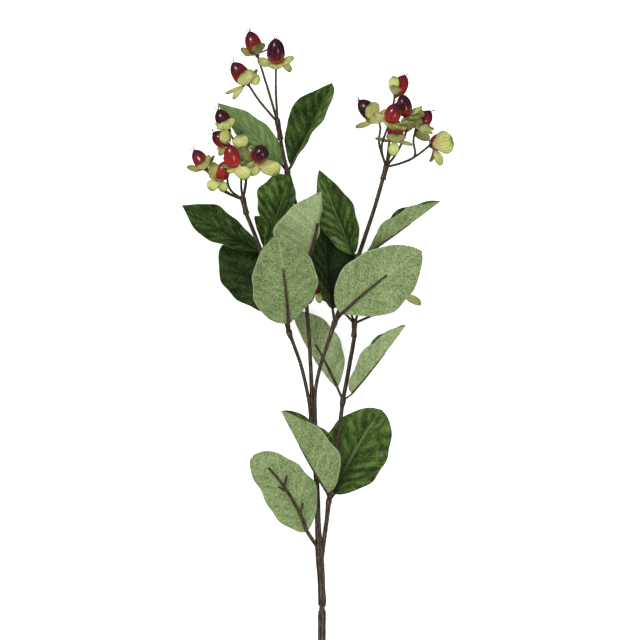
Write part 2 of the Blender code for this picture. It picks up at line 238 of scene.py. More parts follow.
def mesh_object(work, name, materials):
    """The work as a mesh object with these materials."""
    mesh = bpy.data.meshes.new(name)
    work.to_mesh(mesh)
    work.free()
    for material in materials:
        mesh.materials.append(material)
    return new_object(name, mesh)


def hand_over(work, name, materials, replaces):
    """Makes the work a smooth piece, hangs it on the root body and hides the imported node it replaces."""
    piece = mesh_object(work, name, materials)
    piece.data.shade_smooth()
    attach(piece, "root")
    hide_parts(replaces)
    return piece


SEAM = 0.002 * MM
LEAST_EDGE = 0.001 * MM
SHARP_ANGLE = 60


def end_piece(work, name, material, replaces):
    """Closes seams and poles, turns faces outwards and hands the piece over."""
    bmesh.ops.remove_doubles(work, verts=work.verts, dist=SEAM)
    bmesh.ops.dissolve_degenerate(work, edges=work.edges, dist=LEAST_EDGE)
    bmesh.ops.recalc_face_normals(work, faces=work.faces)
    piece = hand_over(work, name, [material], replaces)
    piece.data.set_sharp_from_angle(angle=math.radians(SHARP_ANGLE))
    return piece


def mapped_grid(work, columns, rows, place):
    """A grid whose corners are set at place(across, along), both shares from 0 to 1."""
    grid = bmesh.ops.create_grid(work, x_segments=columns, y_segments=rows, size=0.5, calc_uvs=True)
    for corner in grid["verts"]:
        corner.co = place(corner.co.x + 0.5, corner.co.y + 0.5)
    return grid["verts"]


BUMP_PACE = 1.3
RING_STEP = 0.9


def stick(work, line, radii, sides, rough, seed):
    """A closed round stick along a line, uneven by up to a share of its radius as the seed has it."""
    count = len(line)
    headings = [(line[min(n + 1, count - 1)] - line[max(n - 1, 0)]).normalized() for n in range(count)]
    side = headings[0].orthogonal().normalized()
    frames = []
    for heading in headings:
        side = (side - heading * side.dot(heading)).normalized()
        frames.append((side, heading.cross(side)))
    rows = count + 1

    def place(across, along):
        row = round(along * rows)
        ring = min(max(row - 1, 0), count - 1)
        if row in (0, rows):
            return line[ring].copy()
        turn = math.tau * across
        first, second = frames[ring]
        spot = Vector((math.cos(turn), math.sin(turn), seed + ring * RING_STEP)) * BUMP_PACE
        radius = radii[ring] * (1 + rough * noise.noise(spot))
        return line[ring] + (first * math.cos(turn) + second * math.sin(turn)) * radius

    mapped_grid(work, sides, rows, place)


def thick_line(route, steps):
    """The points and radii of a smooth line through points x, y, height and radius."""
    line = smooth_line(route, steps)
    return [point.to_3d() for point in line], [point[3] for point in line]


WOOD_STEPS = 5
WOOD_SIDES = 14
WOOD_ROUGHNESS = 0.07


def wood(work, route, seed):
    """A stem along a route of points x, y, height and radius in mm."""
    line, radii = thick_line([Vector(point) * MM for point in route], WOOD_STEPS)
    stick(work, line, radii, WOOD_SIDES, WOOD_ROUGHNESS, seed)


LOWER_STEM = (
    (1, -274.6, 2.9, 2.2), (1, -274.2, 2.9, 2.85), (1.1, -250, 3.9, 2.9), (1.2, -220, 5.2, 2.95),
    (1.3, -190, 6.4, 2.95), (1.45, -170, 7.1, 3.0), (1.5, -165, 7.3, 2.95), (1.5, -163.4, 7.35, 2.35),
    (1.5, -161.2, 7.4, 1.9),
)
lower_stem = start_piece()
wood(lower_stem, LOWER_STEM, seed=1.0)
end_piece(lower_stem, "lower_stem_bark", BARK, "lower_stem")


# The main stem and its three branches: the same bark, each a tube that is pushed over the wires of
# what it carries. The stem's foot is a ragged sleeve, and a knuckle swells where a leaf pair leaves.
# They are made after the leaves, because each has the wires of its leaves in its piece.

FORK = (-0.5, -118, 10.8)
SIDE_LOW = (6.7, -81, 15)
SIDE_HIGH = (17.3, -5.5, 15.5)
LEFT_LOW = (-23.4, 46.5, 26)
LEFT_HIGH = (-43, 102.5, 29)
MIDDLE_LOW = (-11, 84, 21.5)
MIDDLE_HIGH = (-24.5, 166, 25)
RIGHT_LOW = (11, 53, 27)
RIGHT_HIGH = (28.8, 103, 29)

ROUTES = {
    "main_stem": (
        (1.5, -162.6, 7.4, 2.0), (1.5, -161, 7.45, 2.05), (1.6, -160.1, 7.5, 2.8), (1.6, -157.5, 7.6, 3.05),
        (1.5, -153.6, 7.8, 3.1), (1.4, -151.8, 7.95, 2.95), (1.1, -146, 8.3, 2.85), (0.8, -138, 8.9, 2.95),
        (-0.2, -124, 10.3, 3.2), (*FORK, 3.1), (-1.5, -100, 11.8, 2.3), (-2.1, -79, 12.8, 2.15),
        (-4, -41, 14.8, 1.95), (-5.9, -4, 17, 1.7), (-7.7, 33, 19, 1.5), (-9.8, 63, 20.5, 1.5),
        (*MIDDLE_LOW, 1.75), (-12.8, 108, 22.5, 1.4), (-16.5, 135, 23.5, 1.4), (-21.8, 155, 24.5, 1.4),
        (*MIDDLE_HIGH, 1.7), (-27.2, 178, 25.5, 1.35), (-29.4, 189.6, 26, 1.4), (-30.4, 196, 26.4, 1.2),
    ),
    "left_branch": (
        (-4.2, -60, 13.8, 0.9), (-5.4, -46, 15.2, 1.3), (-6.7, -30, 16.2, 1.4), (-8.0, -8, 17.6, 1.4),
        (-13.7, 19, 20.5, 1.4), (-19.5, 36, 24, 1.4), (*LEFT_LOW, 1.6), (-28, 62, 27, 1.4),
        (-34.5, 81, 28, 1.4), (*LEFT_HIGH, 1.8), (-48.5, 118, 29.5, 1.5), (-54.8, 133.6, 30, 1.55),
        (-56.2, 138.5, 30.2, 1.2),
    ),
    "right_branch": (
        (-2.2, -60, 14.2, 0.9), (-2.3, -46, 15.8, 1.3), (-3.2, -25, 18, 1.4), (-3.6, 0, 19.8, 1.4),
        (0.2, 20, 22, 1.4), (6, 38, 25, 1.4), (*RIGHT_LOW, 1.8), (17.5, 71, 28.2, 1.4), (23, 88, 28.7, 1.4),
        (*RIGHT_HIGH, 1.6), (34.9, 121, 29.3, 1.55), (41.2, 140, 29.6, 1.55), (46.8, 159.6, 29.9, 1.55),
        (48.4, 164.5, 30.2, 1.2),
    ),
    "side_branch": (
        (1.4, -130, 10.4, 0.9), (2.5, -118, 11.6, 1.3), (3.5, -107, 12.7, 1.7), (5.1, -95, 14, 1.7),
        (*SIDE_LOW, 1.9), (10, -60, 15.2, 1.6), (14.2, -30, 15.3, 1.55), (*SIDE_HIGH, 1.6),
        (21.1, 15, 15.8, 1.6), (25.7, 41.6, 16.5, 1.6), (25.9, 47, 16.8, 1.3),
    ),
}


# The leaves: woven fabric pressed with veins, dark and a little glossy on the face and sage on the
# back. A wire in brown plastic is glued along the back as a rib and goes into the wood as a stalk.

Leaf = namedtuple(
    "Leaf",
    "branch node base tip left right roll fold arch sway twist widest base_point tip_point rib waves shine"
    " wire",
    defaults=(0, 0, 0, 0.42, 0.7, 0.85, 0.6, 1.0, 0.2, 1.0),
)
# A leaf's branch, the knuckle it leaves it at, and the base and tip of its blade in mm; the widths of
# its left and right half in mm, as seen from base to tip with the face up. In degrees, how far it is
# rolled round its rib (at 180 the back is up) and how far each half folds up from it; in mm, how far
# the rib bows towards the face and to the left; in degrees again, its twist from base to tip. Then
# where it is widest, as a share of its length; how pointed it is at base and tip (above 1 is drawn out,
# below 1 round); how far the rib's wire reaches along it; how strong its waves are; its painted light,
# which above 0 paints sheen, highlights and light streaks on it and below 0 darkens it as painted
# shade; and how thick its wire is. A pair of values is for its left and its right half.
LEAVES = {
    "leaf_bottom": Leaf(
        "main_stem", FORK, (-9.8, -104, 17), (-49.2, -45.6, 30), 20.5, 17.8, roll=186, fold=12,
        arch=-2, sway=4.6, widest=0.45, base_point=0.6, tip_point=(0.5, 0.45), rib=0.8, waves=1.2,
        shine=0.25, wire=1.35),
    "leaf_side_low_left": Leaf(
        "side_branch", SIDE_LOW, (6, -75, 23), (-29, -13, 38), 24, 25.2, roll=92.5, fold=77.5,
        arch=-1, sway=2, twist=-8, base_point=0.55, tip_point=0.7, waves=0.7, shine=0.15, wire=0.7),
    "leaf_side_low_right": Leaf(
        "side_branch", SIDE_LOW, (10.5, -76, 12), (46.3, -12.5, 10), 25.5, 24.5, roll=-6, fold=4,
        arch=1, sway=2, widest=0.5, tip_point=0.6, waves=0.9, shine=0.35),
    "leaf_side_high_left": Leaf(
        "side_branch", SIDE_HIGH, (13, 4, 12), (-20, 61, 5), 18, 6.5, roll=184, fold=5,
        arch=-1, sway=2, widest=0.5, base_point=0.8, tip_point=(0.6, 0.7), rib=0.55, shine=0.7),
    "leaf_side_high_right": Leaf(
        "side_branch", SIDE_HIGH, (23.5, 0, 20), (64, 51, 32), 18.5, 15, roll=-100, fold=62,
        arch=-1, widest=0.5, base_point=0.55, tip_point=0.75, shine=0.6, wire=0.7),
    "leaf_left_low_front": Leaf(
        "left_branch", LEFT_LOW, (-23.5, 52, 34), (-31.5, 119, 58), 25, 25, roll=180, fold=12,
        arch=-4, sway=1, widest=(0.5, 0.47), base_point=(0.95, 0.45), tip_point=0.8, rib=0.63, waves=0.8,
        shine=0.0, wire=1.25),
    "leaf_left_low_back": Leaf(
        "left_branch", LEFT_LOW, (-27, 56, 22), (-74, 111, 8), 18.5, 20, roll=-4, fold=6,
        arch=2, widest=0.56, base_point=(1.2, 0.8), tip_point=0.65, waves=1.3, shine=-0.12),
    "leaf_left_high_left": Leaf(
        "left_branch", LEFT_HIGH, (-46, 106.5, 24.5), (-103.5, 141, 22), 11, 14, roll=4, fold=16,
        arch=2, sway=1, widest=0.6, base_point=(0.9, 0.65), tip_point=1.1, waves=1.3, shine=0.05),
    "leaf_left_high_right": Leaf(
        "left_branch", LEFT_HIGH, (-42, 109, 31), (-22, 163, 35), 19.5, 9, roll=10, fold=22,
        arch=3, widest=0.7, base_point=(1.7, 0.95), tip_point=(0.36, 1.0), waves=1.9, shine=(0.4, 0.2)),
    "leaf_middle_low_front": Leaf(
        "main_stem", MIDDLE_LOW, (-8.5, 101, 34), (1, 150.5, 62), 8, 30, roll=220, fold=45,
        arch=-2, widest=0.36, base_point=0.6, tip_point=(1.0, 0.85), rib=0.55, waves=0.8, shine=0.75,
        wire=1.7),
    "leaf_middle_low_back": Leaf(
        "main_stem", MIDDLE_LOW, (-16, 92, 17.5), (-49, 133, 19), 9, 15, roll=0, fold=5,
        arch=1, widest=0.45, tip_point=0.8),
    "leaf_middle_high_left": Leaf(
        "main_stem", MIDDLE_HIGH, (-28, 171, 21.5), (-77, 218, 13), 9.5, 12.5, roll=8, fold=14,
        arch=1, sway=-1, widest=0.44, base_point=0.85, tip_point=1.0, waves=1.4, shine=1.0),
    "leaf_middle_high_right": Leaf(
        "main_stem", MIDDLE_HIGH, (-22, 171, 27), (9, 232, 40), 18.5, 14.5, roll=-34, fold=46,
        arch=2, sway=-2, twist=8, widest=(0.55, 0.78), base_point=(0.75, 1.0), tip_point=(1.0, 0.45),
        waves=1.2, shine=(0.1, 0.5)),
    "leaf_right_low_back": Leaf(
        "right_branch", RIGHT_LOW, (9.5, 63, 24), (1, 148, 22.5), 12, 21, roll=0, fold=12,
        arch=0.5, widest=0.45, tip_point=0.8, waves=0.7, shine=(0.05, -0.4)),
    "leaf_right_low_front": Leaf(
        "right_branch", RIGHT_LOW, (15.5, 59, 33), (75.7, 106.5, 46), 25, 25, roll=182, fold=9,
        arch=-4, sway=-2, widest=(0.48, 0.42), base_point=(1.15, 0.45), tip_point=(0.75, 0.66),
        waves=0.6, wire=1.15),
    "leaf_right_high_left": Leaf(
        "right_branch", RIGHT_HIGH, (25, 104, 31), (-0.5, 167, 34), 14, 15, roll=-10, fold=24,
        arch=3, tip_point=0.9, waves=1.3, shine=(0.5, 0.12)),
    "leaf_right_high_right": Leaf(
        "right_branch", RIGHT_HIGH, (35, 105, 31), (89.5, 143.5, 44), 20.5, 15, roll=-97, fold=56,
        arch=-1, sway=-2, widest=0.48, base_point=1.0, tip_point=0.8, waves=0.8, wire=0.7),
}
BLADE_COLUMNS = 22
BLADE_ROWS = 44
BLADE_THICKNESS = 0.6 * MM
BLADE_END_WIDTH = 0.5 * MM


def of_half(value, across):
    """The value for a leaf's left half, at across from 0 up, or its right, where the two differ."""
    return value[across < 0] if isinstance(value, tuple) else value


def turned_leaf(leaf, t):
    """The directions to a leaf's left and out of its face at share t of its length."""
    along = (Vector(leaf.tip) - Vector(leaf.base)).normalized()
    level = Vector((0, 0, 1)).cross(along).normalized()
    up = along.cross(level)
    roll = math.radians(leaf.roll + leaf.twist * (t - 0.5))
    return level * math.cos(roll) + up * math.sin(roll), up * math.cos(roll) - level * math.sin(roll)


def rib_point(leaf, t):
    """The point of a leaf's rib at share t of its length."""
    side, face = turned_leaf(leaf, 0.5)
    bow = 4 * t * (1 - t)
    return (Vector(leaf.base).lerp(Vector(leaf.tip), t) + (face * leaf.arch + side * leaf.sway) * bow) * MM


VEINS = 8
VEIN_SLANT = 0.34
VEIN_BEND = 0.25


def vein_number(span, along):
    """A whole number on each side vein: they leave the midrib, at span 0, and bend towards the tip."""
    return (along - VEIN_SLANT * (span - VEIN_BEND * span**2)) * VEINS


# The rim waves out of the blade's plane, its two halves out of step, and the more a leaf's waves are
# above calm, the more it is ruffled too. The rim's outline has a long and a short wave: their sizes, as
# shares of the width, and their paces. The side veins are pressed in and fade towards the rim.
RIM_WAVE = 1.1 * MM
RIM_WAVES = 2.6
HALF_PHASES = (3.9, 0.6)
RUFFLE = 0.9
CALM_WAVES = 0.3
RUFFLES_ACROSS = 1.5
RUFFLES_ALONG = 7
LONG_WAVE = (0.035, 9)
SHORT_WAVE = (0.028, 23)
VEIN_RELIEF = 0.45 * MM
VEIN_FLATNESS = 0.6
VEIN_START = 6
VEIN_FADE = 0.6


def blade_relief(leaf, across, t, ends):
    """How far a blade's surface is off its smooth shape; ends falls from 1 to 0 at its base and tip."""
    span = abs(across)
    turn = math.tau * RIM_WAVES * t + of_half(HALF_PHASES, across) + leaf.left
    wave = RIM_WAVE * ends * span**2 * math.sin(turn)
    ruffle = noise.noise(Vector((across * RUFFLES_ACROSS, t * RUFFLES_ALONG, leaf.left + leaf.tip[0])))
    wave += RIM_WAVE * RUFFLE * (leaf.waves - CALM_WAVES) * ends * span * ruffle
    ridge = abs(math.sin(math.pi * vein_number(span, t))) ** VEIN_FLATNESS
    hollow = (1 - math.exp(-VEIN_START * span)) * ends
    return wave + VEIN_RELIEF * leaf.waves * hollow * (ridge - 0.5) * (1 - VEIN_FADE * span)


def half_width(leaf, across, t):
    """How wide a half of a blade is at share t of its length."""
    widest = of_half(leaf.widest, across)
    if t < widest:
        full = math.sin(math.pi / 2 * t / widest) ** of_half(leaf.base_point, across)
    else:
        full = max(0, math.sin(math.pi / 2 * (1 - t) / (1 - widest))) ** of_half(leaf.tip_point, across)
    return BLADE_END_WIDTH / 2 + of_half((leaf.left, leaf.right), across) * MM * full


# Each half is an arc in its cross-section: how far it curls, and how much of its fold the ends have.
HALF_CURL = 0.35
LEAST_CURL = 0.001
FOLD_AT_ENDS = 0.6


def blade_point(leaf, across, t):
    """The point of a blade at share t of its length, and across from 1, its left edge, to -1."""
    side, face = turned_leaf(leaf, t)
    span = abs(across)
    ends = math.sin(math.pi * min(max(t, 0), 1)) ** 0.5
    lift = math.radians(leaf.fold) * (FOLD_AT_ENDS + (1 - FOLD_AT_ENDS) * ends)
    curl = HALF_CURL * ends + LEAST_CURL
    width = half_width(leaf, across, t)
    out = width * (math.sin(lift) - math.sin(lift - curl * span)) / curl
    rise = width * (math.cos(lift - curl * span) - math.cos(lift)) / curl
    (long, long_pace), (short, short_pace) = LONG_WAVE, SHORT_WAVE
    phase = leaf.left + of_half(HALF_PHASES, across)
    uneven = long * math.sin(long_pace * t + leaf.right) + short * math.sin(short_pace * t + phase)
    out *= 1 + leaf.waves * uneven
    relief = blade_relief(leaf, across, t, ends)
    return rib_point(leaf, t) + side * math.copysign(out, across) + face * (rise + relief)


def pressed_pattern(cloth):
    """A blade's places and patterns: the share off its midrib, nearness to a side vein and to the
    midrib (1 on the line), the painted relief shade, light on one side of each side vein and dark on
    the other, and uneven streaks that run along the side veins."""
    across, along = cloth.own_map()
    places = cloth.places()
    wander = cloth.speckle(places, 90.0, detail=2.0) - 0.5
    span = abs(across * 2 - 1)
    vein = vein_number(span, along + wander * 0.03)
    side_veins = 1 - vein.distance_to_line().between(0.0, 0.2)
    midrib = 1 - (span + wander * 0.02).between(0.015, 0.06)
    flow = cloth.add("ShaderNodeCombineXYZ", {}, {0: vein, 1: span * 1.2, 2: across * 3.0})
    vein_streaks = cloth.speckle(flow, 1.7, detail=2.0, rough=0.6)
    # The sine of the vein number is the painted relief shade: light on one side of each side vein, dark on
    # the other.
    return places, span, side_veins, midrib, (vein * math.tau).sine(), vein_streaks


FACE_TONES = ((0.34, (0.006, 0.012, 0.002)), (0.5, (0.023, 0.046, 0.007)), (0.66, (0.068, 0.126, 0.017)))
FACE_DARK = (0.007, 0.011, 0.004)
# The pale green of the pale veins and midrib, and of the painted sheen and painted highlights.
FACE_PALE_VEIN_AND_SHEEN = (0.16, 0.245, 0.095)
FACE_RIM = (0.2, 0.25, 0.13)


def leaf_face_finish():
    """The printed face: deep green cloth, darker along its midrib towards the base, with pale veins and
    streaks, painted relief shade, painted sheen and highlights where its painted light is high, painted
    shade where it is below 0, and a soft gloss.
    """
    cloth = Finish("leaf_face", Specular_IOR_Level=0.09)
    places, span, side_veins, midrib, painted_relief_shade, vein_streaks = pressed_pattern(cloth)
    along = cloth.own_map()[1]
    shine = cloth.stored("shine")
    cloud = cloth.speckle(places, 60.0, detail=3.0)
    patches = cloth.speckle(places, 150.0, detail=2.0)
    grain = cloth.speckle(cloth.stretched(places, (1.0, 0.45, 1.0)), 1100.0, detail=3.0, rough=0.7)
    # Uneven tone from noise and from the streaks along the side veins, whose contrast grows with the painted
    # light.
    tone = (cloud - 0.5) * 0.4 + (vein_streaks - 0.5) * (0.3 + shine * 0.5) + (grain - 0.5) * 0.6
    # Painted relief shade: light and dark stripes beside each side vein, as if the pressed veins were lit
    # from one side.
    banded = tone + painted_relief_shade * span.between(0.0, 0.3) * 0.03
    # Painted light and shade: the whole green is lighter as painted sheen where the painted light is high,
    # and darker as painted shade where it is below 0.
    green = cloth.ramp(banded + 0.46 + shine * 0.22, FACE_TONES)
    # Darker towards the base near the midrib, and along the midrib's lower half; the midrib darkening
    # weakens, down to none, where the painted light is high.
    dark_base = (1 - span.between(0.0, 0.5)) * (1 - along.between(0.0, 0.75)) * 0.75
    dark_midrib = midrib * (1 - along.between(0.35, 0.65)) * (0.8 - shine * 1.8)
    darker = cloth.mix(dark_base + dark_midrib, green, FACE_DARK)
    # Pale side veins and midrib, both stronger with painted light; painted highlights on the crests of the
    # streaks; and an even painted sheen over leaves whose painted light is high.
    vein_light = side_veins * span.between(0.05, 0.3) * patches.between(0.42, 0.62) * (0.15 + shine * 0.4)
    painted_crest_highlight = (painted_relief_shade * 0.2 + vein_streaks).between(0.5, 0.8) * span.between(0.02, 0.3) * shine * 0.6
    rib_light = midrib * (along + shine * 0.7).between(0.35, 0.7) * (0.04 + shine * 0.9)
    lit = cloth.mix(vein_light + painted_crest_highlight + shine**4 * 0.4 + rib_light, darker, FACE_PALE_VEIN_AND_SHEEN)
    rim = span.between(0.955, 1.0) * patches.between(0.4, 0.6)
    cloth.wear(
        Base_Color=cloth.mix(rim * 0.5, lit, FACE_RIM),
        Roughness=0.5 + grain * 0.25 - shine * 0.12,
        Normal=cloth.bump(grain * 0.4 - side_veins * 0.6 - midrib + cloud * 0.8, 0.25 * MM, 0.8),
    )
    return cloth.material


BACK_TONES = ((0.38, (0.062, 0.094, 0.030)), (0.5, (0.155, 0.212, 0.078)), (0.62, (0.30, 0.37, 0.18)))
BACK_VEIN = (0.36, 0.43, 0.27)
BACK_RIM = (0.36, 0.42, 0.28)


def leaf_back_finish():
    """The bare back of the cloth: sage threads of uneven lightness and hardly any gloss, with painted light
    and painted relief shade.
    """
    cloth = Finish("leaf_back", Specular_IOR_Level=0.2)
    places, span, side_veins, midrib, painted_relief_shade, vein_streaks = pressed_pattern(cloth)
    shine = cloth.stored("shine")
    cloud = cloth.speckle(places, 70.0, detail=2.0)
    threads = cloth.speckle(cloth.stretched(places, (1.0, 0.28, 1.0)), 1500.0, detail=3.0, rough=0.75)
    cross_threads = cloth.speckle(cloth.stretched(places, (0.35, 1.0, 1.0)), 1200.0, detail=3.0, rough=0.75)
    weave = threads * 0.6 + cross_threads * 0.4
    # Painted light: the sage is lighter as painted sheen where the painted light is high, and darker as
    # painted shade where it is below 0.
    tone = weave * 0.95 + cloud * 0.14 + vein_streaks * 0.06 - 0.1 + shine * 0.11
    # Painted relief shade: faint light and dark stripes beside the side veins.
    sage = cloth.ramp(tone + painted_relief_shade * span.between(0.0, 0.4) * 0.012, BACK_TONES)
    # Pale veins, shown more where the painted light is high.
    veined = cloth.mix(side_veins * (0.12 + shine * 0.35) + midrib * 0.2, sage, BACK_VEIN)
    cloth.wear(
        Base_Color=cloth.mix(span.between(0.94, 1.0) * 0.5, veined, BACK_RIM),
        Roughness=0.68 + weave * 0.25,
        Normal=cloth.bump(weave + side_veins * 0.25, 0.3 * MM, 0.7),
    )
    return cloth.material


LEAF_FACE = leaf_face_finish()
LEAF_BACK = leaf_back_finish()


def thicken(piece, thickness):
    """Gives a sheet its thickness, half of it on each side."""
    wall = piece.modifiers.new("thickness", "SOLIDIFY")
    wall.thickness = thickness
    wall.offset = 0
    return wall


def leaf_blade(name, leaf):
    """A blade: one waved sheet with its face outwards, given its thickness and its back."""
    work = start_piece()
    # Each half's painted light (painted sheen and highlights, or painted shade below 0), kept on its corners
    # for the leaf finishes.
    shine = work.verts.layers.float.new("shine")

    def place(across, along):
        return blade_point(leaf, 1 - 2 * across, along)

    for number, corner in enumerate(mapped_grid(work, BLADE_COLUMNS, BLADE_ROWS, place)):
        column = number % (BLADE_COLUMNS + 1)
        corner[shine] = of_half(leaf.shine, (BLADE_COLUMNS + 1) / 2 - column)
    work.normal_update()
    outwards = turned_leaf(leaf, 0.5)[1]
    if sum(face.normal.dot(outwards) for face in work.faces) < 0:
        bmesh.ops.reverse_faces(work, faces=work.faces)
    piece = hand_over(work, name + "_cloth", [LEAF_FACE, LEAF_BACK], name)
    thicken(piece, BLADE_THICKNESS).material_offset = 1


for name, leaf in LEAVES.items():
    leaf_blade(name, leaf)


STALK_RADIUS = 1.1 * MM
RIB_END_RADIUS = 0.6 * MM
RIB_STEPS = 9
RIB_SINK = 0.6
RIB_SIDES = 8


def leaf_rib(work, leaf):
    """The wire of a leaf: out of its knuckle, on under the blade and thinner to its end."""
    end = RIB_END_RADIUS * min(leaf.wire, leaf.wire**3)

    def radius(step, steps):
        return STALK_RADIUS * leaf.wire * (1 - step / steps) + end * step / steps

    points = [Vector(leaf.node) * MM]
    for step in range(RIB_STEPS + 1):
        t = leaf.rib * step / RIB_STEPS
        outwards = turned_leaf(leaf, t)[1]
        depth = BLADE_THICKNESS / 2 + radius(step, RIB_STEPS) * RIB_SINK
        points.append(rib_point(leaf, t) - outwards * depth)
    line = smooth_line(points, 3)
    last = len(line) - 1
    radii = [radius(step, last) for step in range(last + 1)]
    stick(work, line, radii, RIB_SIDES, rough=0.12, seed=leaf.tip[0])


# Short bare ends of wire that stand off the lowest leaf's rib: where on the rib, and how far in mm.
TWIGS = ((0.53, (1.8, 9, 1)), (0.47, (-7, 4.2, 1)), (0.2, (2.4, 8.4, 1)))
TWIG_HEIGHT = 1.1
TWIG_RADIUS = 0.75 * MM


def bare_twigs(work, leaf):
    """Sticks for the bare wires, on the side of the rib that is seen."""
    for share, off in TWIGS:
        root = rib_point(leaf, share) + Vector((0, 0, TWIG_HEIGHT)) * MM
        line = [root, root + Vector(off) * 0.5 * MM, root + Vector(off) * MM]
        stick(work, line, [TWIG_RADIUS] * 3, RIB_SIDES, rough=0.15, seed=share)


# The swelling of the wood where a leaf pair leaves it: steps along the wood, and radii, in mm.
KNUCKLE = ((-5.5, 1.5), (-3.5, 1.95), (-1.5, 2.3), (0.5, 2.4), (2.0, 1.5))


def knuckle(work, route, node):
    """A short thick stick over the wood, along it at the node."""
    number = [point[:3] for point in route].index(node)
    before, after = (Vector(route[near]).to_3d() for near in (number - 1, number + 1))
    along = (after - before).normalized()
    line = [(Vector(node) + along * step) * MM for step, radius in KNUCKLE]
    stick(work, line, [radius * MM for step, radius in KNUCKLE], WOOD_SIDES, rough=0.12, seed=node[0])


for name, route in ROUTES.items():
    branch = start_piece()
    wood(branch, route, seed=len(name) * 1.7)
    carried = [leaf for leaf in LEAVES.values() if leaf.branch == name]
    for leaf in carried:
        leaf_rib(branch, leaf)
    for node in dict.fromkeys(leaf.node for leaf in carried if leaf.node != FORK):
        knuckle(branch, route, node)
    if name == "main_stem":
        bare_twigs(branch, LEAVES["leaf_bottom"])
    end_piece(branch, name + "_bark", BARK, name)


# The berry heads: moulded plastic, pushed on the branch with a sleeve. Stalks of the same bark hold
# soft yellow-green calyces of five unequal sepals, each with a lacquered berry and its dry styles.

